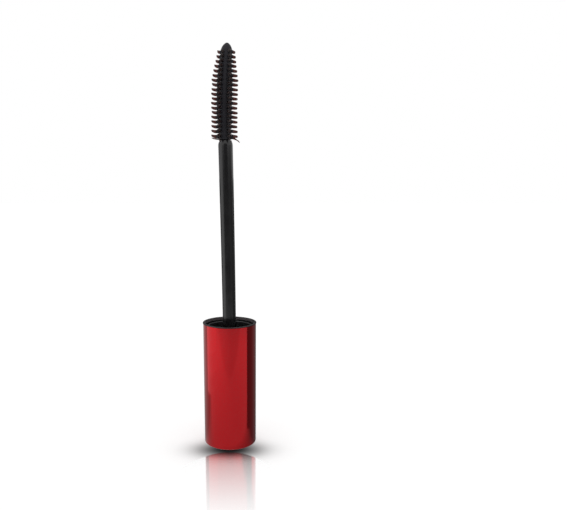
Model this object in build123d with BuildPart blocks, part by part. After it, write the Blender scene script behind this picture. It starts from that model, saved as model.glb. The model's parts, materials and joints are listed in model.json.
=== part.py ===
from build123d import *
import math
import os

# Mascara applicator: a screw cap that stands on its closed end, with the rod and brush rising out of it.
# Millimetres. +Z runs up the wand, and the origin is the centre of the cap's closed end, where it stands.

# Driving dimensions
CAP_DIAMETER = 17.5
CAP_LENGTH = 41.5
OVERALL_LENGTH = 128.0
ROD_DIAMETER = 4.5
ROD_END_Z = 99.4
RING_COUNT = 20
BRISTLES_PER_RING = 6
BRUSH_DIAMETER = 8.3
BRUSH_TILT_LIMIT = 4.0  # degrees that the brush gives each way on its shank

# Outer cap, a thin coloured shell
CAP_R = CAP_DIAMETER / 2
SHELL_WALL = 0.7
SHELL_FLOOR = 1.2
SHELL_BORE_R = CAP_R - SHELL_WALL
CLOSED_END_ROUND = 0.3
LIP_HEIGHT = 0.26  # a bare lip round the rim, just proud of the coloured wall
LIP_OVERHANG = 0.12
RIM_ROUND = 0.12

# Inner cap, a black liner that carries the neck thread and the rod's socket
RIM_STEP = 1.2  # the liner stops this far below the shell's rim
LINER_GAP = 0.45  # between liner and shell, bridged by the grip ribs
LINER_R = SHELL_BORE_R - LINER_GAP
LINER_TOP = CAP_LENGTH - RIM_STEP
WELL_R = 7.1
WELL_DEPTH = 12.35
WELL_FLOOR = LINER_TOP - WELL_DEPTH
WEB_BOTTOM = WELL_FLOOR - 1.5
SKIRT_BORE_R = 6.75
MOUTH_CHAMFER = 0.2
GRIP_RIB_COUNT = 12
GRIP_RIB_WIDTH = 0.8
GRIP_RIB_TOP = CAP_LENGTH - 3.05
SNAP_Z = 9.0
SNAP_HEIGHT = 0.15
SNAP_WIDTH = 1.2
SNAP_FLANK_ANGLE = 45

# Neck thread inside the well
THREAD_DEPTH = 0.45
THREAD_PITCH = 2.6
THREAD_TURNS = 1.75
THREAD_ROOT_WIDTH = 1.1
THREAD_CREST_WIDTH = 0.5
THREAD_START_Z = WELL_FLOOR + 5.0
THREAD_EMBED = 0.15

# Rod and its splined, snap-in head
ROD_R = ROD_DIAMETER / 2
HEAD_R = 2.9
HEAD_LENGTH = 8.0
FLANGE_R = 3.7
FLANGE_THICKNESS = 1.0
SOCKET_TOP = WELL_FLOOR - FLANGE_THICKNESS
SOCKET_BOTTOM = SOCKET_TOP - HEAD_LENGTH
HEAD_BEAD_Z = SOCKET_BOTTOM + 1.0
HEAD_BEAD_HEIGHT = 0.25
HEAD_BEAD_WIDTH = 1.0
HEAD_BEAD_FLANK_ANGLE = 60
SPLINE_BOTTOM = HEAD_BEAD_Z + 1.5
SPLINE_COUNT = 6
SPLINE_WIDTH = 0.7
SPLINE_HEIGHT = 0.3
SPLINE_LENGTH = 3.5
SOCKET_WALL = 1.2
SOCKET_WEB_COUNT = 4
SOCKET_WEB_WIDTH = 0.9
SOCKET_WEB_EMBED = 0.2
CORE_HOLE_R = 1.0
CORE_HOLE_DEPTH = 45.0
NOSE_LENGTH = 1.5
NOSE_R = 1.85

# Soft washer that the bottle's neck presses on
SEAL_THICKNESS = 0.8
SEAL_R = 6.4
SEAL_BORE_R = ROD_R + 0.05
SEAL_ROUND = 0.15

# Brush shank: a ball-ended stalk that snaps into a round pocket in the rod
BALL_R = 1.5
POCKET_R = BALL_R + 0.05
SHANK_R = 1.0
SHANK_CLEARANCE = 0.05  # left between shank and mouth at full tilt
PIVOT_DEPTH = 4.5
PIVOT_Z = ROD_END_Z - PIVOT_DEPTH
TILT = math.radians(BRUSH_TILT_LIMIT)
SHANK_MOUTH_R = PIVOT_DEPTH * math.tan(TILT) + SHANK_R / math.cos(TILT) + SHANK_CLEARANCE
POCKET_VENT_DEPTH = 2.0

# Brush core, tip and bristles
SHOULDER_GAP = 0.25
CORE_BOTTOM_Z = ROD_END_Z + SHOULDER_GAP
CORE_BOTTOM_R = 2.0
CORE_TOP_R = 1.8
CORE_EDGE_ROUND = 0.25
TIP_FLANK_R = 3.3
TIP_FLANK_SWEEP = 50.0
FLANK_COS = math.cos(math.radians(TIP_FLANK_SWEEP))
FLANK_SIN = math.sin(math.radians(TIP_FLANK_SWEEP))
TIP_NOSE_R = (CORE_TOP_R - TIP_FLANK_R * (1 - FLANK_COS)) / FLANK_COS
TIP_LENGTH = TIP_FLANK_R * FLANK_SIN + TIP_NOSE_R * (1 - FLANK_SIN)
TIP_Z = OVERALL_LENGTH - TIP_LENGTH
FIRST_RING_Z = CORE_BOTTOM_Z + 0.5
LAST_RING_Z = TIP_Z + 0.35
RING_PITCH = (LAST_RING_Z - FIRST_RING_Z) / (RING_COUNT - 1)
BRUSH_R = BRUSH_DIAMETER / 2
TAPERED_RINGS = 6
TAPER_STEP = 0.23
FIRST_COLUMN_ANGLE = 0.0  # puts a column of bristles square to each side
BRISTLE_ROOT_R = 0.5
BRISTLE_TIP_R = 0.36
BRISTLE_SEAT_R = 1.35  # the bristle's cone starts inside the core


def grip_edges(part, height):
    """The circular edges of a part at one height, smallest radius first."""
    at_height = [e for e in part.edges().filter_by(GeomType.CIRCLE) if abs(e.center().Z - height) < 1e-4]
    return sorted(at_height, key=lambda edge: edge.radius)


def ring_reach(ring):
    """How far the bristle tips of a ring stand from the brush's axis."""
    steps_into_taper = max(0, ring - (RING_COUNT - 1 - TAPERED_RINGS))
    return BRUSH_R - TAPER_STEP * steps_into_taper


def finish(piece, label):
    """Name a finished piece and write its STEP file."""
    piece.part.label = label
    export_step(piece.part, f"parts/{label}.step")


os.makedirs("parts", exist_ok=True)

# Outer cap: a cup with a soft edge at its closed end, a lip at its rim, and a groove that the liner snaps into.
with BuildPart() as outer_cap:
    with BuildSketch():
        Circle(CAP_R)
    extrude(amount=CAP_LENGTH)
    with BuildSketch(Plane.XY.offset(CAP_LENGTH - LIP_HEIGHT)):
        Circle(CAP_R + LIP_OVERHANG)
    extrude(amount=LIP_HEIGHT)
    fillet(grip_edges(outer_cap, 0), CLOSED_END_ROUND)
    fillet(grip_edges(outer_cap, CAP_LENGTH), RIM_ROUND)
    with BuildSketch(Plane.XY.offset(SHELL_FLOOR)):
        Circle(SHELL_BORE_R)
    extrude(amount=CAP_LENGTH - SHELL_FLOOR, mode=Mode.SUBTRACT)
    fillet(grip_edges(outer_cap, CAP_LENGTH)[0], RIM_ROUND)
    with BuildSketch(Plane.XZ):
        with Locations((SHELL_BORE_R, SNAP_Z)):
            Trapezoid(SNAP_WIDTH, 2 * SNAP_HEIGHT, SNAP_FLANK_ANGLE, rotation=-90)
    revolve(axis=Axis.Z, mode=Mode.SUBTRACT)
finish(outer_cap, "outer_cap")

# Inner cap: the liner. A threaded well opens upwards, and a splined socket for the rod hangs below its floor.
with BuildPart() as inner_cap:
    with BuildSketch(Plane.XZ):
        with BuildLine():
            Polyline(
                (HEAD_R, SOCKET_BOTTOM),
                (HEAD_R + SOCKET_WALL, SOCKET_BOTTOM),
                (HEAD_R + SOCKET_WALL, WEB_BOTTOM),
                (SKIRT_BORE_R, WEB_BOTTOM),
                (SKIRT_BORE_R, SHELL_FLOOR),
                (LINER_R, SHELL_FLOOR),
                (LINER_R, LINER_TOP),
                (WELL_R + MOUTH_CHAMFER, LINER_TOP),
                (WELL_R, LINER_TOP - MOUTH_CHAMFER),
                (WELL_R, WELL_FLOOR),
                (FLANGE_R, WELL_FLOOR),
                (FLANGE_R, SOCKET_TOP),
                (HEAD_R, SOCKET_TOP),
                close=True,
            )
        make_face()
    revolve(axis=Axis.Z)
    # Neck thread, a single right-hand start.
    with BuildLine() as thread_path:
        Helix(
            pitch=THREAD_PITCH,
            height=THREAD_PITCH * THREAD_TURNS,
            radius=WELL_R,
            center=(0, 0, THREAD_START_Z),
        )
    with BuildSketch(Plane(thread_path.line @ 0, x_dir=(-1, 0, 0), z_dir=thread_path.line % 0)):
        Polygon(
            (-THREAD_EMBED, -THREAD_ROOT_WIDTH / 2),
            (THREAD_DEPTH, -THREAD_CREST_WIDTH / 2),
            (THREAD_DEPTH, THREAD_CREST_WIDTH / 2),
            (-THREAD_EMBED, THREAD_ROOT_WIDTH / 2),
            align=None,
        )
    sweep(path=thread_path.line, is_frenet=True)
    # Axial ribs hold the liner central in the shell.
    with BuildSketch(Plane.XY.offset(SHELL_FLOOR)):
        with PolarLocations(SHELL_BORE_R - LINER_GAP, GRIP_RIB_COUNT):
            Rectangle(2 * LINER_GAP, GRIP_RIB_WIDTH)
        Circle(SHELL_BORE_R, mode=Mode.INTERSECT)
    extrude(amount=GRIP_RIB_TOP - SHELL_FLOOR)
    # A bead snaps into the shell's groove.
    with BuildSketch(Plane.XZ):
        with Locations((SHELL_BORE_R, SNAP_Z)):
            Trapezoid(SNAP_WIDTH, 2 * SNAP_HEIGHT, SNAP_FLANK_ANGLE, rotation=-90)
        with Locations((SHELL_BORE_R - LINER_GAP, SNAP_Z)):
            Rectangle(2 * LINER_GAP, SNAP_WIDTH)
    revolve(axis=Axis.Z)
    # Webs brace the socket against the skirt.
    with BuildSketch(Plane.XY.offset(SOCKET_BOTTOM)):
        with PolarLocations((HEAD_R + SOCKET_WALL + SKIRT_BORE_R) / 2, SOCKET_WEB_COUNT):
            Rectangle(SKIRT_BORE_R - HEAD_R - SOCKET_WALL + 2 * SOCKET_WEB_EMBED, SOCKET_WEB_WIDTH)
    extrude(amount=WEB_BOTTOM - SOCKET_BOTTOM)
    # Spline slots and the head bead's groove, inside the socket.
    with BuildSketch(Plane.XY.offset(SPLINE_BOTTOM)):
        with PolarLocations(HEAD_R, SPLINE_COUNT):
            Rectangle(2 * SPLINE_HEIGHT, SPLINE_WIDTH)
    extrude(amount=SPLINE_LENGTH, mode=Mode.SUBTRACT)
    with BuildSketch(Plane.XZ):
        with Locations((HEAD_R, HEAD_BEAD_Z)):
            Trapezoid(HEAD_BEAD_WIDTH, 2 * HEAD_BEAD_HEIGHT, HEAD_BEAD_FLANK_ANGLE, rotation=-90)
    revolve(axis=Axis.Z, mode=Mode.SUBTRACT)
finish(inner_cap, "inner_cap")

# Neck seal: a soft washer round the rod, on the well's floor.
with BuildPart() as neck_seal:
    with BuildSketch(Plane.XY.offset(WELL_FLOOR)):
        Circle(SEAL_R)
        Circle(SEAL_BORE_R, mode=Mode.SUBTRACT)
    extrude(amount=SEAL_THICKNESS)
    fillet(grip_edges(neck_seal, WELL_FLOOR + SEAL_THICKNESS), SEAL_ROUND)
finish(neck_seal, "neck_seal")

# Wand rod: a splined head below the flange, a plain shaft above it, and a pocket for the brush in its end.
with BuildPart() as wand_rod:
    with BuildSketch(Plane.XZ):
        with BuildLine():
            Polyline(
                (0, SOCKET_BOTTOM),
                (HEAD_R, SOCKET_BOTTOM),
                (HEAD_R, SOCKET_TOP),
                (FLANGE_R, SOCKET_TOP),
                (FLANGE_R, WELL_FLOOR),
                (ROD_R, WELL_FLOOR),
                (ROD_R, ROD_END_Z - NOSE_LENGTH),
            )
            TangentArc((ROD_R, ROD_END_Z - NOSE_LENGTH), (NOSE_R, ROD_END_Z), tangent=(0, 1))
            Polyline((NOSE_R, ROD_END_Z), (0, ROD_END_Z), (0, SOCKET_BOTTOM))
        make_face()
    revolve(axis=Axis.Z)
    with BuildSketch(Plane.XZ):
        with Locations((HEAD_R, HEAD_BEAD_Z)):
            Trapezoid(HEAD_BEAD_WIDTH, 2 * HEAD_BEAD_HEIGHT, HEAD_BEAD_FLANK_ANGLE, rotation=-90)
    revolve(axis=Axis.Z)
    with BuildSketch(Plane.XY.offset(SPLINE_BOTTOM)):
        with PolarLocations(HEAD_R, SPLINE_COUNT):
            Rectangle(2 * SPLINE_HEIGHT, SPLINE_WIDTH)
    extrude(amount=SPLINE_LENGTH)
    # Cored out from the head, so that the moulding's wall is even.
    with BuildSketch(Plane.XY.offset(SOCKET_BOTTOM)):
        Circle(CORE_HOLE_R)
    extrude(amount=CORE_HOLE_DEPTH, mode=Mode.SUBTRACT)
    # Mouth, round pocket and the vent below it.
    with BuildSketch(Plane.XY.offset(PIVOT_Z)):
        Circle(SHANK_MOUTH_R)
    extrude(amount=PIVOT_DEPTH, mode=Mode.SUBTRACT)
    with Locations((0, 0, PIVOT_Z)):
        Sphere(POCKET_R, mode=Mode.SUBTRACT)
    with BuildSketch(Plane.XY.offset(PIVOT_Z - POCKET_R - POCKET_VENT_DEPTH)):
        Circle(SHANK_R / 2)
    extrude(amount=POCKET_R + POCKET_VENT_DEPTH, mode=Mode.SUBTRACT)
finish(wand_rod, "wand_rod")

# Brush: one moulding, from the ball on its shank to the round tip, with rings of tapered bristles.
with BuildPart() as brush:
    with BuildSketch(Plane.XZ):
        with BuildLine():
            Polyline(
                (0, PIVOT_Z),
                (SHANK_R, PIVOT_Z),
                (SHANK_R, CORE_BOTTOM_Z),
                (CORE_BOTTOM_R - CORE_EDGE_ROUND, CORE_BOTTOM_Z),
                (CORE_BOTTOM_R, CORE_BOTTOM_Z + CORE_EDGE_ROUND),
                (CORE_TOP_R, TIP_Z),
            )
            flank = JernArc((CORE_TOP_R, TIP_Z), (0, 1), TIP_FLANK_R, TIP_FLANK_SWEEP)
            JernArc(flank @ 1, flank % 1, TIP_NOSE_R, 90 - TIP_FLANK_SWEEP)
            Line((0, OVERALL_LENGTH), (0, PIVOT_Z))
        make_face()
    revolve(axis=Axis.Z)
    with Locations((0, 0, PIVOT_Z)):
        Sphere(BALL_R)
    for ring in range(RING_COUNT):
        reach = ring_reach(ring)
        with Locations((0, 0, FIRST_RING_Z + ring * RING_PITCH)):
            with PolarLocations(BRISTLE_SEAT_R, BRISTLES_PER_RING, start_angle=FIRST_COLUMN_ANGLE):
                Cone(
                    BRISTLE_ROOT_R,
                    BRISTLE_TIP_R,
                    reach - BRISTLE_SEAT_R,
                    rotation=(0, 90, 0),
                    align=(Align.CENTER, Align.CENTER, Align.MIN),
                )
finish(brush, "brush")
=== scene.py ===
import json
import math
import random

import bmesh
import bpy
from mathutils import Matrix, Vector


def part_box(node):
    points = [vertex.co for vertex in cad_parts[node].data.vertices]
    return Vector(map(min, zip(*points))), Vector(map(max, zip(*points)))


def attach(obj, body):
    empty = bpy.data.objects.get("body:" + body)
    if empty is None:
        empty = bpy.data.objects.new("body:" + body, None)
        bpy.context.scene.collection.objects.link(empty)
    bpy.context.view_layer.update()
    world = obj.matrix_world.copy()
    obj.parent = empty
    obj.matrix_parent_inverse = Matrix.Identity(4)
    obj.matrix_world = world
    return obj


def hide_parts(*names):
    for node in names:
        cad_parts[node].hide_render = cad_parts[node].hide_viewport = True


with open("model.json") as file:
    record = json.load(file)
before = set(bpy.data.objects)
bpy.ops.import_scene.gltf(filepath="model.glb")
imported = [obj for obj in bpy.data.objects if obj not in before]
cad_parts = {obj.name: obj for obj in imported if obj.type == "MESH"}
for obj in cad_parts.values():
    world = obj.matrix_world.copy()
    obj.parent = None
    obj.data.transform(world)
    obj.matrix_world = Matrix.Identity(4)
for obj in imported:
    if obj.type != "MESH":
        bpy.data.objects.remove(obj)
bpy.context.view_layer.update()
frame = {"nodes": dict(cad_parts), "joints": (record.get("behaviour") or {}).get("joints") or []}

MM = 0.001
TURN = 2 * math.pi

# Sizes read from the CAD frame
LIP_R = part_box("outer_cap")[1].y
CAP_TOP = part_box("outer_cap")[1].z
LINER_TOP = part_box("inner_cap")[1].z
WELL_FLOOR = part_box("neck_seal")[0].z
ROD_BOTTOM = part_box("wand_rod")[0].z
ROD_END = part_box("wand_rod")[1].z
FLANGE_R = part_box("wand_rod")[1].y
BRUSH_TIP_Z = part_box("brush")[1].z
BRUSH_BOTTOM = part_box("brush")[0].z
BRISTLE_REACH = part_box("brush")[1].x

# Sizes that the frame's boxes don't give
CAP_R = LIP_R - 0.12 * MM
LIP_BOTTOM = CAP_TOP - 0.26 * MM
SHELL_BORE_R = CAP_R - 0.7 * MM
SHELL_FLOOR = 1.2 * MM
FOOT_ROUND = 0.3 * MM
RIM_ROUND = 0.12 * MM
# Depth of the painted highlight band at the top of the shell's bore
BORE_HIGHLIGHT_DEPTH = 0.85 * MM
# The liner's rim is painted paler between these depths below its top: a painted highlight
LINER_HIGHLIGHT_FROM = 0.3 * MM
LINER_HIGHLIGHT_TO = 0.2 * MM
SHELL_GROOVE_Z = 9 * MM
LACQUER_EDGE_ROUND = 0.04 * MM
ROD_R = 2.3 * MM
DRAFT = 0.14 * MM
HEAD_R = 2.9 * MM
FLANGE_THICKNESS = 1 * MM
NOSE_LENGTH = 1.5 * MM
NOSE_R = 1.85 * MM
CORE_HOLE_R = 1 * MM
CORE_HOLE_TOP = ROD_BOTTOM + 45 * MM
PIVOT_Z = frame["joints"][0]["pos_m"][2]
BALL_R = PIVOT_Z - BRUSH_BOTTOM
SHANK_R = 1 * MM
SHANK_START = PIVOT_Z + 1.4 * MM
SHANK_MOUTH_R = 1.367 * MM
MOUTH_CHAMFER = 0.1 * MM
CORE_BOTTOM = ROD_END + 0.25 * MM
CORE_BOTTOM_R = 2.0 * MM
CORE_TOP_R = 1.8 * MM
CORE_EDGE_ROUND = 0.25 * MM
TIP_FLANK_R = 3.3 * MM
TIP_FLANK_SWEEP = math.radians(50)
RING_COUNT = 20
COLUMN_COUNT = 6
TAPERED_RINGS = 6
TAPER_STEP = 0.23 * MM


# Camera: set so that the view matches the photograph's
CAMERA_PLACE = Vector((7.0, -189.0, 83.8)) * MM
CAMERA_PITCH = math.radians(11.28)
CAMERA_LENS = 37.1
CAMERA_SHIFT = (0.0578, 0.0939)

camera_data = bpy.data.cameras.new("camera")
camera_data.lens = CAMERA_LENS
camera_data.sensor_width = 36
camera_data.shift_x, camera_data.shift_y = CAMERA_SHIFT
camera_data.clip_start = 0.01
camera = bpy.data.objects.new("camera", camera_data)
camera.location = CAMERA_PLACE
camera.rotation_euler = (math.pi / 2 - CAMERA_PITCH, 0, 0)
bpy.context.collection.objects.link(camera)
bpy.context.scene.camera = camera
bpy.context.scene.view_settings.view_transform = "Standard"


# Materials: a source between these two values blends from one end of its effect to the other
BLEND_FROM, BLEND_TO = 0.3, 0.7


def new_material(name, color, roughness, **sockets):
    """A Principled material, and its node tree and shader."""
    material = bpy.data.materials.new(name)
    material.use_nodes = True
    tree = material.node_tree
    shader = tree.nodes["Principled BSDF"]
    shader.inputs["Base Color"].default_value = (*color, 1)
    shader.inputs["Roughness"].default_value = roughness
    for socket, value in sockets.items():
        shader.inputs[socket.replace("_", " ")].default_value = value
    return material, tree, shader


def node(tree, kind, **settings):
    """A new node with its properties, and inputs by name, set."""
    made = tree.nodes.new(kind)
    for key, value in settings.items():
        if key in made.inputs:
            made.inputs[key].default_value = value
        else:
            setattr(made, key.lower(), value)
    return made


def noise(tree, scale, detail=3.0, stretch=(1, 1, 1)):
    """Object-space noise, in cycles per metre, stretched along an axis if asked."""
    place = node(tree, "ShaderNodeTexCoord")
    mapping = node(tree, "ShaderNodeMapping", Scale=stretch)
    texture = node(tree, "ShaderNodeTexNoise", Scale=scale, Detail=detail)
    tree.links.new(place.outputs["Object"], mapping.inputs["Vector"])
    tree.links.new(mapping.outputs["Vector"], texture.inputs["Vector"])
    return texture.outputs["Fac"]


def vary(tree, source, low, high, target):
    """Drive a shader socket from a 0 to 1 source, between two values."""
    spread = node(tree, "ShaderNodeMapRange")
    spread.inputs["From Min"].default_value = BLEND_FROM
    spread.inputs["From Max"].default_value = BLEND_TO
    spread.inputs["To Min"].default_value = low
    spread.inputs["To Max"].default_value = high
    tree.links.new(source, spread.inputs["Value"])
    tree.links.new(spread.outputs["Result"], target)


def vary_color(tree, source, low, high, target):
    """Drive a colour socket from a 0 to 1 source, between two colours."""
    ramp = node(tree, "ShaderNodeValToRGB")
    ramp.color_ramp.elements[0].position = BLEND_FROM
    ramp.color_ramp.elements[0].color = (*low, 1)
    ramp.color_ramp.elements[1].position = BLEND_TO
    ramp.color_ramp.elements[1].color = (*high, 1)
    tree.links.new(source, ramp.inputs["Fac"])
    tree.links.new(ramp.outputs["Color"], target)


def bump(tree, source, shader, depth):
    """Fine relief, with its depth in metres."""
    relief = node(tree, "ShaderNodeBump", Distance=depth)
    tree.links.new(source, relief.inputs["Height"])
    tree.links.new(relief.outputs["Normal"], shader.inputs["Normal"])


def lacquer_material():
    """Red metallic lacquer: fine flakes under a clear coat."""
    red = (0.46, 0.002, 0.006)
    material, tree, shader = new_material(
        "red_metallic_lacquer", red, 0.14, Metallic=1.0, Coat_Weight=0.42, Coat_Roughness=0.04
    )
    flakes = noise(tree, 9000, 1)
    darker, lighter = (0.44, 0.0015, 0.005), (0.48, 0.003, 0.007)
    vary_color(tree, flakes, darker, lighter, shader.inputs["Base Color"])
    vary(tree, noise(tree, 180, 4, (1, 1, 0.3)), 0.12, 0.16, shader.inputs["Roughness"])
    bump(tree, flakes, shader, 0.0004 * MM)
    return material


def moulded_black(name, color, roughness, grain, specular=0.5):
    """Black moulded plastic with a faint grain and a slightly uneven black."""
    material, tree, shader = new_material(name, color, roughness, Specular_IOR_Level=specular)
    cloud = noise(tree, 700, 4, (1, 1, 0.4))
    darker, lighter = [tuple(c * share for c in color) for share in (0.8, 1.2)]
    vary_color(tree, cloud, darker, lighter, shader.inputs["Base Color"])
    vary(tree, cloud, roughness * 0.85, roughness * 1.15, shader.inputs["Roughness"])
    bump(tree, noise(tree, grain, 2), shader, 0.004 * MM)
    return material


# The Mix node's colour inputs and output share their names with its others, so they are found by place
MIX_COLOR_A, MIX_COLOR_B, MIX_COLOR_RESULT = 6, 7, 2


def liner_material():
    """The liner's black, paler on its rim: a painted highlight where the rim catches light."""
    material = moulded_black("black_liner_plastic", (0.010, 0.010, 0.011), 0.35, 5000)
    tree = material.node_tree
    shader = tree.nodes["Principled BSDF"]
    plain = shader.inputs["Base Color"].links[0].from_socket
    place = node(tree, "ShaderNodeTexCoord")
    parts = node(tree, "ShaderNodeSeparateXYZ")
    tree.links.new(place.outputs["Object"], parts.inputs[0])
    height = node(tree, "ShaderNodeMapRange")
    height.inputs["From Min"].default_value = LINER_TOP - LINER_HIGHLIGHT_FROM
    height.inputs["From Max"].default_value = LINER_TOP - LINER_HIGHLIGHT_TO
    tree.links.new(parts.outputs["Z"], height.inputs["Value"])
    # Painted highlight: the liner's black turns paler towards its rim
    liner_rim_highlight = node(tree, "ShaderNodeMix", data_type="RGBA")
    tree.links.new(height.outputs["Result"], liner_rim_highlight.inputs["Factor"])
    tree.links.new(plain, liner_rim_highlight.inputs[MIX_COLOR_A])
    liner_rim_highlight.inputs[MIX_COLOR_B].default_value = (0.034, 0.034, 0.036, 1)
    tree.links.new(liner_rim_highlight.outputs[MIX_COLOR_RESULT], shader.inputs["Base Color"])
    return material


lacquer = lacquer_material()
# Painted highlight: paler blacks for the shell's rim top and for a band at the top of its bore, where they
# catch light
rim_highlight_black = moulded_black("rim_plastic_painted_highlight", (0.027, 0.022, 0.024), 0.4, 6000)
bore_highlight_black = moulded_black("bore_plastic_painted_highlight", (0.1, 0.085, 0.09), 0.5, 6000)
shell_black = moulded_black("black_shell_plastic", (0.006, 0.006, 0.007), 0.4, 6000, 0.2)
liner_black = liner_material()
rod_black = moulded_black("black_rod_plastic", (0.0075, 0.0073, 0.0078), 0.2, 4000)
seal_foam = moulded_black("dark_seal_foam", (0.03, 0.03, 0.03), 0.7, 2500, 0.3)
core_black = moulded_black("brush_core_elastomer", (0.0125, 0.0118, 0.0155), 0.5, 3000, 0.22)


def bristle_material():
    """Dark brown elastomer that lets light through, and is redder towards the bristles' ends."""
    root_brown, end_brown = (0.05, 0.013, 0.010), (0.075, 0.013, 0.007)
    material, tree, shader = new_material(
        "brush_bristle_elastomer", root_brown, 0.6, Transmission_Weight=0.9, Specular_IOR_Level=0.5
    )
    along = node(tree, "ShaderNodeAttribute", attribute_name="along")
    vary_color(tree, along.outputs["Fac"], root_brown, end_brown, shader.inputs["Base Color"])
    vary(tree, noise(tree, 1500, 3), 0.5, 0.7, shader.inputs["Roughness"])
    bump(tree, noise(tree, 6000, 2), shader, 0.006 * MM)
    return material


bristle_brown = bristle_material()


# Mesh helpers
def arc(center, radius, start, end, steps):
    """Points (r, z) of a circular arc, both ends included."""
    angles = [start + (end - start) * i / steps for i in range(steps + 1)]
    return [(center[0] + radius * math.cos(a), center[1] + radius * math.sin(a)) for a in angles]


def straight(start, end, steps):
    """Evenly spaced points (r, z) from start to end, both included."""
    return [tuple(a + (b - a) * i / steps for a, b in zip(start, end)) for i in range(steps + 1)]


def lathe(mesh, outline, material_index=0, segments=128):
    """Turn an outline of (r, z) points about Z into a bmesh. A radius of zero makes a pole."""
    rings = []
    for r, z in outline:
        if r < 1e-7:
            rings.append([mesh.verts.new((0, 0, z))])
        else:
            angles = [TURN * i / segments for i in range(segments)]
            rings.append([mesh.verts.new((r * math.cos(a), r * math.sin(a), z)) for a in angles])
    for low, high in zip(rings, rings[1:]):
        for i in range(segments):
            j = (i + 1) % segments
            corners = [low[i % len(low)], low[j % len(low)], high[j % len(high)], high[i % len(high)]]
            face = mesh.faces.new(list(dict.fromkeys(corners)))
            face.material_index = material_index


def mesh_object(name, mesh, materials, sharp_angle=35):
    """Close a bmesh into an object with smooth shading, except across sharp edges."""
    bmesh.ops.remove_doubles(mesh, verts=mesh.verts, dist=1e-7)
    bmesh.ops.recalc_face_normals(mesh, faces=mesh.faces)
    data = bpy.data.meshes.new(name)
    mesh.to_mesh(data)
    mesh.free()
    data.shade_smooth()
    data.set_sharp_from_angle(angle=math.radians(sharp_angle))
    for material in materials:
        data.materials.append(material)
    made = bpy.data.objects.new(name, data)
    bpy.context.collection.objects.link(made)
    return made


def take_place(piece, body, slot, *nodes):
    """Ride a finished piece on its body in place of CAD nodes."""
    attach(piece, body)
    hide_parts(*nodes)


# Outer cap: lacquered outside, bare black plastic at the rim and inside, with paler blacks on the rim's top
# and on a band at the top of the bore as painted highlight
CAP_SEGMENTS = 192
LACQUERED, RIM_HIGHLIGHT, BARE, BORE_HIGHLIGHT = range(4)


def build_outer_cap():
    """The shell. Short straight runs beside each round keep its shading from spreading."""
    mesh = bmesh.new()
    foot_center = (CAP_R - FOOT_ROUND, FOOT_ROUND)
    rim_outer = (LIP_R - RIM_ROUND, CAP_TOP - RIM_ROUND)
    rim_inner = (SHELL_BORE_R + RIM_ROUND, CAP_TOP - RIM_ROUND)
    outside = straight((0, 0), (CAP_R - FOOT_ROUND - 0.03 * MM, 0), 8)
    outside += arc(foot_center, FOOT_ROUND, -math.pi / 2, 0, 10)
    outside += straight((CAP_R, FOOT_ROUND + 0.03 * MM), (CAP_R, LIP_BOTTOM - 0.08 * MM), 12)
    edge_center = (CAP_R - LACQUER_EDGE_ROUND, LIP_BOTTOM - LACQUER_EDGE_ROUND)
    outside += arc(edge_center, LACQUER_EDGE_ROUND, 0, math.pi / 2, 4)
    lip = [outside[-1], (LIP_R - 0.02 * MM, LIP_BOTTOM), (LIP_R, LIP_BOTTOM + 0.02 * MM)]
    # The rim's top gets a paler black as painted highlight
    rim = arc(rim_outer, RIM_ROUND, 0, math.pi / 2, 6)
    rim += arc(rim_inner, RIM_ROUND, math.pi / 2, math.pi, 6)
    # A paler band at the top of the bore as painted highlight; the bore's black below it stays darker
    lit_bore_band = [rim[-1], (SHELL_BORE_R, CAP_TOP - 0.2 * MM), (SHELL_BORE_R, CAP_TOP - BORE_HIGHLIGHT_DEPTH)]
    inside = [(SHELL_BORE_R, SHELL_GROOVE_Z), (SHELL_BORE_R, SHELL_FLOOR), (0, SHELL_FLOOR)]
    lathe(mesh, outside, LACQUERED, CAP_SEGMENTS)
    lathe(mesh, lip + rim[:1], BARE, CAP_SEGMENTS)
    lathe(mesh, rim, RIM_HIGHLIGHT, CAP_SEGMENTS)
    lathe(mesh, lit_bore_band, BORE_HIGHLIGHT, CAP_SEGMENTS)
    lathe(mesh, lit_bore_band[-1:] + inside, BARE, CAP_SEGMENTS)
    cap = mesh_object("outer_cap_shell", mesh, [lacquer, rim_highlight_black, shell_black, bore_highlight_black])
    take_place(cap, "cap_and_wand", "cap_lacquer", "outer_cap")


# Wand rod: it leans and bows a little, and the brush bends back
ROD_BOW = 0.0015 * MM
BRUSH_BOW = 0.0018 * MM
BRUSH_SET_OVER = 0.2 * MM
ROD_SEGMENTS = 96


def rod_bow(z):
    """How far the rod's centreline stands from the cap's axis along X, at a height."""
    return -ROD_BOW * (max(0, z - WELL_FLOOR) / MM) ** 1.5


def brush_bow(z):
    """The same for the brush, which carries on from the rod, steps over above it and bends back."""
    rise = (z - CORE_BOTTOM) / MM
    slope = (rod_bow(ROD_END) - rod_bow(ROD_END - MM)) / MM
    set_over = BRUSH_SET_OVER * min(1, max(0, (z - ROD_END) / (CORE_BOTTOM - ROD_END)))
    return rod_bow(ROD_END) + slope * rise * MM + BRUSH_BOW * max(0, rise) ** 2 - set_over


def bend(mesh, bow):
    """Bend a mesh along its height, with each level plane turned to stay square to the centreline."""
    for vertex in mesh.verts:
        x, y, z = vertex.co
        slope = (bow(z + 0.5 * MM) - bow(z - 0.5 * MM)) / MM
        vertex.co.x = x + bow(z)
        vertex.co.z = z - x * slope


def shear(mesh, bow):
    """Move each level plane of a mesh sideways onto the centreline, and keep it level."""
    for vertex in mesh.verts:
        vertex.co.x += bow(vertex.co.z)


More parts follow.
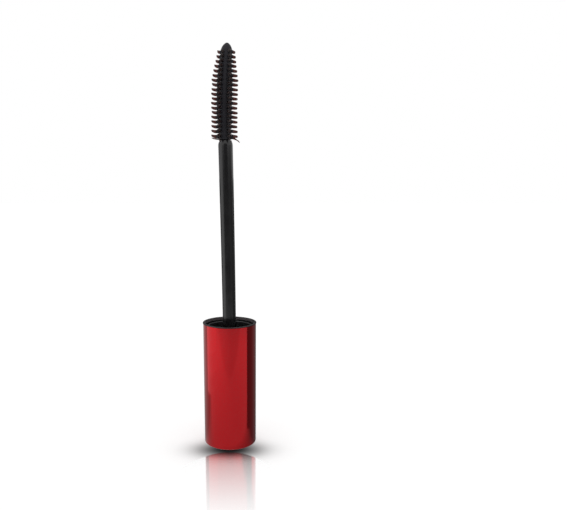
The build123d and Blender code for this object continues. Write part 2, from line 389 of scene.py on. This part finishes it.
def build_rod():
    """The rod, from its head in the liner's socket to the pocket that the brush's ball sits in."""
    mesh = bmesh.new()
    nose_start = ROD_END - NOSE_LENGTH
    inset = ROD_R - NOSE_R
    nose_sweep = 2 * math.atan(inset / NOSE_LENGTH)
    nose_radius = NOSE_LENGTH / math.sin(nose_sweep)
    outline = [(CORE_HOLE_R, ROD_BOTTOM), (HEAD_R, ROD_BOTTOM), (HEAD_R, WELL_FLOOR - FLANGE_THICKNESS)]
    outline += [(FLANGE_R, WELL_FLOOR - FLANGE_THICKNESS), (FLANGE_R, WELL_FLOOR)]
    outline += [(ROD_R - DRAFT, WELL_FLOOR)]
    outline += straight((ROD_R - DRAFT, WELL_FLOOR + MM), (ROD_R, nose_start - 0.05 * MM), 60)
    outline += arc((ROD_R - nose_radius, nose_start), nose_radius, 0, nose_sweep, 10)
    outline += [(SHANK_MOUTH_R + MOUTH_CHAMFER, ROD_END), (SHANK_MOUTH_R, ROD_END - MOUTH_CHAMFER)]
    outline += [(SHANK_MOUTH_R, PIVOT_Z), (BALL_R, PIVOT_Z - 0.2 * MM), (0, PIVOT_Z - BALL_R)]
    core_hole = [(CORE_HOLE_R, ROD_BOTTOM), (CORE_HOLE_R, CORE_HOLE_TOP), (0, CORE_HOLE_TOP)]
    lathe(mesh, outline, segments=ROD_SEGMENTS)
    lathe(mesh, core_hole, segments=ROD_SEGMENTS)
    bend(mesh, rod_bow)
    rod = mesh_object("wand_rod_bowed", mesh, [rod_black])
    take_place(rod, "cap_and_wand", "rod_plastic", "wand_rod")


# Brush: core with a round tip, and rings of curved, tapered bristles
BRISTLE_SIDES = 8
BRISTLE_STEPS = (0, 0.15, 0.3, 0.45, 0.6, 0.73, 0.84, 0.9, 0.95, 0.98, 1)
BRISTLE_R = 0.56 * MM
BRISTLE_SEAT_R = 1.3 * MM
BRISTLE_TAPER = 1.2
ROUNDED_FROM = 0.9
ROUNDED_BY = 0.8
TIP_TRIM = 0.005 * MM
FIRST_RING_ABOVE_CORE = 0.28 * MM
LAST_RING_ABOVE_TIP = 0.35 * MM
LOWERED_RINGS = 5
LOWERED_BY = 0.3 * MM
CORE_MATERIAL, BRISTLE_MATERIAL = 0, 1
BROWN_FROM = 0.44
chance = random.Random(11)


def bristle_radius(t):
    """A bristle's radius along its length, which shrinks faster and faster to a rounded end."""
    taper = math.sqrt(1 - (t / BRISTLE_TAPER) ** 2)
    rounded = max(0, (t - ROUNDED_FROM) / (1 - ROUNDED_FROM))
    return BRISTLE_R * taper * math.sqrt(1 - ROUNDED_BY * rounded**2)


def add_bristle(mesh, along, root, out, length, lift, curl, sideways, girth=1.0):
    """One bristle: a tube that leaves the core along out, sags by its curl, and ends lifted by lift."""
    side = Vector((0, 0, 1)).cross(out)
    up = Vector((0, 0, 1))
    rings = []
    for t in BRISTLE_STEPS:
        rise = (lift - curl) * t + curl * t * t
        center = root + out * (length * t) + up * rise + side * (sideways * t * t)
        radius = bristle_radius(t) * girth
        angles = [TURN * i / BRISTLE_SIDES for i in range(BRISTLE_SIDES)]
        ring = [mesh.verts.new(center + (side * math.cos(a) + up * math.sin(a)) * radius) for a in angles]
        for vertex in ring:
            vertex[along] = t
        rings.append(ring)
    for t, low, high in zip(BRISTLE_STEPS, rings, rings[1:]):
        for i in range(BRISTLE_SIDES):
            j = (i + 1) % BRISTLE_SIDES
            face = mesh.faces.new((low[i], low[j], high[j], high[i]))
            face.material_index = BRISTLE_MATERIAL if t > BROWN_FROM else CORE_MATERIAL
    mesh.faces.new(rings[-1]).material_index = BRISTLE_MATERIAL
    mesh.faces.new(rings[0][::-1])


def build_brush():
    """The brush, from the ball on its shank to its tip, in one mesh."""
    mesh = bmesh.new()
    along = mesh.verts.layers.float.new("along")
    flank_cos = math.cos(TIP_FLANK_SWEEP)
    flank_sin = math.sin(TIP_FLANK_SWEEP)
    nose_r = (CORE_TOP_R - TIP_FLANK_R * (1 - flank_cos)) / flank_cos
    tip_z = BRUSH_TIP_Z - TIP_TRIM - TIP_FLANK_R * flank_sin - nose_r * (1 - flank_sin)
    nose_center = (0, tip_z + (TIP_FLANK_R - nose_r) * flank_sin)
    core = arc((0, PIVOT_Z), BALL_R, -math.pi / 2, math.radians(45), 12)
    core += [(SHANK_R, SHANK_START), (SHANK_R, ROD_END), (SHANK_R, CORE_BOTTOM)]
    edge_center = (CORE_BOTTOM_R - CORE_EDGE_ROUND, CORE_BOTTOM + CORE_EDGE_ROUND)
    core += arc(edge_center, CORE_EDGE_ROUND, -math.pi / 2, 0, 4)
    core += straight((CORE_BOTTOM_R, CORE_BOTTOM + 0.3 * MM), (CORE_TOP_R, tip_z), 40)
    core += arc((CORE_TOP_R - TIP_FLANK_R, tip_z), TIP_FLANK_R, 0, TIP_FLANK_SWEEP, 12)
    core += arc(nose_center, nose_r, TIP_FLANK_SWEEP, math.pi / 2, 8)
    lathe(mesh, core, CORE_MATERIAL, 64)
    first_ring = CORE_BOTTOM + FIRST_RING_ABOVE_CORE
    pitch = (tip_z + LAST_RING_ABOVE_TIP - first_ring) / (RING_COUNT - 1)
    for ring in range(RING_COUNT):
        taper = TAPER_STEP * max(0, ring - (RING_COUNT - 1 - TAPERED_RINGS))
        height = first_ring + ring * pitch
        if ring > 0:
            height -= LOWERED_BY * max(0, (LOWERED_RINGS - ring) / (LOWERED_RINGS - 1)) ** 1.5
        for column in range(COLUMN_COUNT):
            angle = TURN * column / COLUMN_COUNT + chance.gauss(0, 0.012)
            out = Vector((math.cos(angle), math.sin(angle), 0))
            root = Vector((0, 0, height)) + out * BRISTLE_SEAT_R
            length = BRISTLE_REACH - taper - BRISTLE_SEAT_R - abs(chance.gauss(0, 0.09)) * MM
            lift = (-0.2 - 0.2 * out.x + chance.gauss(0, 0.03)) * MM
            curl = (0.85 - 0.55 * out.x) * MM
            girth = 1.0
            if ring == 0:
                # The lowest ring is bent out of true: up on one side, and hooked down on the other
                girth = 0.4
                if out.x < -0.9:
                    lift, curl = 0.3 * MM, 0.7 * MM
                if out.x > 0.9:
                    girth = 0.6
                    length, lift, curl = length + 0.35 * MM, -1.1 * MM, -2.6 * MM
            add_bristle(mesh, along, root, out, length, lift, curl, chance.gauss(0, 0.04) * MM, girth)
    shear(mesh, brush_bow)
    brush = mesh_object("brush_moulding", mesh, [core_black, bristle_brown])
    take_place(brush, "brush_head", "brush_elastomer", "brush")


build_outer_cap()
build_rod()
build_brush()

for name, material in {"inner_cap": liner_black, "neck_seal": seal_foam}.items():
    for slot in frame["nodes"][name].material_slots:
        slot.material = material


# Stage: a white floor with a soft shadow and a fading mirror image in front of the cap
def axis_values(tree):
    """Object-space X and Y outputs, and the vector itself."""
    place = node(tree, "ShaderNodeTexCoord")
    parts = node(tree, "ShaderNodeSeparateXYZ")
    tree.links.new(place.outputs["Object"], parts.inputs[0])
    return parts.outputs["X"], parts.outputs["Y"], place.outputs["Object"]


def maths(tree, operation, *values):
    """A maths node's output. Each value is a number or another output."""
    made = node(tree, "ShaderNodeMath", operation=operation)
    for socket, value in zip(made.inputs, values):
        if isinstance(value, (int, float)):
            socket.default_value = value
        else:
            tree.links.new(value, socket)
    return made.outputs[0]


def ramp_between(tree, value, start, end, low=0.0, high=1.0, smooth=False):
    """Map a value from start..end to low..high, clamped."""
    spread = node(tree, "ShaderNodeMapRange")
    if smooth:
        spread.interpolation_type = "SMOOTHSTEP"
    for key, number in {"From Min": start, "From Max": end, "To Min": low, "To Max": high}.items():
        spread.inputs[key].default_value = number
    tree.links.new(value, spread.inputs["Value"])
    return spread.outputs["Result"]


# The contact shadow: its centre and its spread, as of a bell curve
SHADOW_CENTER_Y = -8.2 * MM
SHADOW_SPREAD_X = 6.9 * MM
SHADOW_SPREAD_Y = 4.0 * MM
SHADOW_DEPTH = 0.9
SHADOW_CURVE = 2.2

# The mirror image: it starts along a bow in front of the foot, and its strength fades away from there
MIRROR_BOW = 55  # per metre
MIRROR_START = (-9.6 * MM, -10.8 * MM)
MIRROR_FADE = (-12 * MM, -52 * MM)
MIRROR_STRENGTH = 0.68
MIRROR_SIDE = (13 * MM, 15 * MM)
FOOT_SHADED = (-10.1 * MM, -14.5 * MM)
FOOT_SIDE = (7.6 * MM, 8.6 * MM)


def build_floor():
    """The floor that the camera sees: shadow, glow and mirror image."""
    mesh = bmesh.new()
    bmesh.ops.create_grid(mesh, x_segments=8, y_segments=8, size=4)
    floor = mesh_object("floor", mesh, [])
    floor.location.z = -0.02 * MM
    material = bpy.data.materials.new("pale_floor")
    material.use_nodes = True
    tree = material.node_tree
    tree.nodes.clear()
    x, y, _ = axis_values(tree)

    from_center = maths(tree, "ADD", y, -SHADOW_CENTER_Y)
    across = maths(tree, "POWER", maths(tree, "DIVIDE", x, SHADOW_SPREAD_X), 2)
    forward = maths(tree, "POWER", maths(tree, "DIVIDE", from_center, SHADOW_SPREAD_Y), 2)
    spot = maths(tree, "EXPONENT", maths(tree, "MULTIPLY", maths(tree, "ADD", across, forward), -0.5))
    kept = maths(tree, "SUBTRACT", 1.0, maths(tree, "MULTIPLY", spot, SHADOW_DEPTH))
    shade = maths(tree, "POWER", kept, SHADOW_CURVE)

    diffuse = node(tree, "ShaderNodeBsdfDiffuse")
    glow = node(tree, "ShaderNodeEmission", Strength=0.55)
    half_shade = maths(tree, "MULTIPLY", shade, 0.5)
    tree.links.new(half_shade, diffuse.inputs["Color"])
    tree.links.new(shade, glow.inputs["Color"])
    lit = node(tree, "ShaderNodeAddShader")
    tree.links.new(diffuse.outputs[0], lit.inputs[0])
    tree.links.new(glow.outputs[0], lit.inputs[1])

    bow = maths(tree, "MULTIPLY", maths(tree, "POWER", x, 2), MIRROR_BOW)
    sideways = maths(tree, "ABSOLUTE", x)
    started = ramp_between(tree, maths(tree, "ADD", bow, y), *MIRROR_START, smooth=True)
    fading = ramp_between(tree, y, *MIRROR_FADE, MIRROR_STRENGTH, 0.0)
    narrow = ramp_between(tree, sideways, *MIRROR_SIDE, 1.0, 0.0)
    mirror = maths(tree, "MULTIPLY", maths(tree, "MULTIPLY", started, fading), narrow)
    gloss = node(tree, "ShaderNodeBsdfGlossy", Roughness=0.0)
    ahead = ramp_between(tree, y, *FOOT_SHADED)
    beside = ramp_between(tree, sideways, *FOOT_SIDE)
    tree.links.new(maths(tree, "MAXIMUM", ahead, beside), gloss.inputs["Color"])
    mirrored = node(tree, "ShaderNodeMixShader")
    tree.links.new(mirror, mirrored.inputs["Fac"])
    tree.links.new(lit.outputs[0], mirrored.inputs[1])
    tree.links.new(gloss.outputs[0], mirrored.inputs[2])
    out = node(tree, "ShaderNodeOutputMaterial")
    tree.links.new(mirrored.outputs[0], out.inputs["Surface"])
    floor.data.materials.append(material)
    floor.visible_glossy = False


def build_world():
    """An even white surround."""
    world = bpy.data.worlds.new("studio")
    world.use_nodes = True
    background = world.node_tree.nodes["Background"]
    background.inputs["Color"].default_value = (1, 1, 1, 1)
    background.inputs["Strength"].default_value = 1.0
    bpy.context.scene.world = world


def only_for_reflections(card):
    """Hide a card from all but mirror-like rays."""
    card.visible_camera = False
    card.visible_diffuse = False
    card.visible_shadow = False
    card.visible_transmission = False


def glowing_material(name, strength):
    """A plain glow, with its node tree and emission node."""
    material = bpy.data.materials.new(name)
    material.use_nodes = True
    tree = material.node_tree
    tree.nodes.clear()
    out = node(tree, "ShaderNodeOutputMaterial")
    glow = node(tree, "ShaderNodeEmission", Color=(1, 1, 1, 1), Strength=strength)
    tree.links.new(glow.outputs[0], out.inputs["Surface"])
    return material, tree, glow


def reflection_card(name, low, high, facing, strength):
    """An upright studio card between two corners, which only reflections see."""
    mesh = bmesh.new()
    bmesh.ops.create_grid(mesh, x_segments=1, y_segments=1, size=0.5)
    card = mesh_object(name, mesh, [glowing_material(name, strength)[0]])
    low, high = Vector(low) * MM, Vector(high) * MM
    size = high - low
    card.rotation_euler = Vector(facing).to_track_quat("Z", "Y").to_euler()
    card.scale = (max(size.x, size.y), size.z, 1)
    card.location = (low + high) / 2
    only_for_reflections(card)


def reflected_floor():
    """What the object's gloss sees of the floor: pale in front, darker past a far edge, and dark behind."""
    mesh = bmesh.new()
    bmesh.ops.create_grid(mesh, x_segments=1, y_segments=1, size=3)
    material, tree, glow = glowing_material("reflected_floor", 1)
    card = mesh_object("reflected_floor", mesh, [material])
    card.location.z = -0.1 * MM
    x, y, place = axis_values(tree)
    length = node(tree, "ShaderNodeVectorMath", operation="LENGTH")
    tree.links.new(place, length.inputs[0])
    distance = length.outputs["Value"]
    pale = ramp_between(tree, distance, 14 * MM, 130 * MM, 0.72, 0.93)
    to_left = ramp_between(tree, x, -90 * MM, 15 * MM, 1.22, 0.95)
    corner = maths(tree, "ADD", y, maths(tree, "MULTIPLY", maths(tree, "ABSOLUTE", x), 0.33))
    past_corner = ramp_between(tree, corner, -82 * MM, -86 * MM, 1.0, 0.85, smooth=True)
    behind_left = ramp_between(tree, y, -9 * MM, 2 * MM, 1.0, 0.5)
    behind_right = ramp_between(tree, y, -13 * MM, -2 * MM, 1.0, 0.2)
    side = ramp_between(tree, x, -5 * MM, 5 * MM)
    behind = node(tree, "ShaderNodeMix")
    tree.links.new(side, behind.inputs["Factor"])
    tree.links.new(behind_left, behind.inputs["A"])
    tree.links.new(behind_right, behind.inputs["B"])
    far = ramp_between(tree, distance, 190 * MM, 220 * MM, 1.0, 0.25, smooth=True)
    strength = pale
    for factor in (to_left, past_corner, behind.outputs["Result"], far):
        strength = maths(tree, "MULTIPLY", strength, factor)
    tree.links.new(strength, glow.inputs["Strength"])
    only_for_reflections(card)


# Studio cards: name, low and high corners in millimetres, the way each faces, and its strength
TO_LEFT, TO_RIGHT, TO_FRONT, TO_BACK = (-1, 0, 0), (1, 0, 0), (0, -1, 0), (0, 1, 0)
CARDS = (
    ("left_softbox_foot", (-58, -41, 0), (-58, 17, 8), TO_RIGHT, 0.98),
    ("left_softbox_middle", (-58, -41, 8), (-58, 17, 17), TO_RIGHT, 1.1),
    ("left_softbox", (-58, -41, 17), (-58, 17, 160), TO_RIGHT, 1.2),
    ("left_fill", (-58, 17, 0), (-58, 70, 160), TO_RIGHT, 0.5),
    ("right_flag", (21.5, -8.7, 0), (21.5, 1.6, 92), TO_LEFT, 0.14),
    ("back_flag", (-45, 15, 37.5), (45, 15, 88), TO_FRONT, 0.2),
    ("front_flag", (-30, -60, 88), (30, -60, 125), TO_BACK, 0.1),
    ("front_wall", (-420, -260, 0), (200, -260, 118), TO_BACK, 0.12),
    ("right_wall", (200, -260, 0), (200, 0, 118), TO_LEFT, 0.22),
)

build_floor()
build_world()
reflected_floor()
for card in CARDS:
    reflection_card(*card)
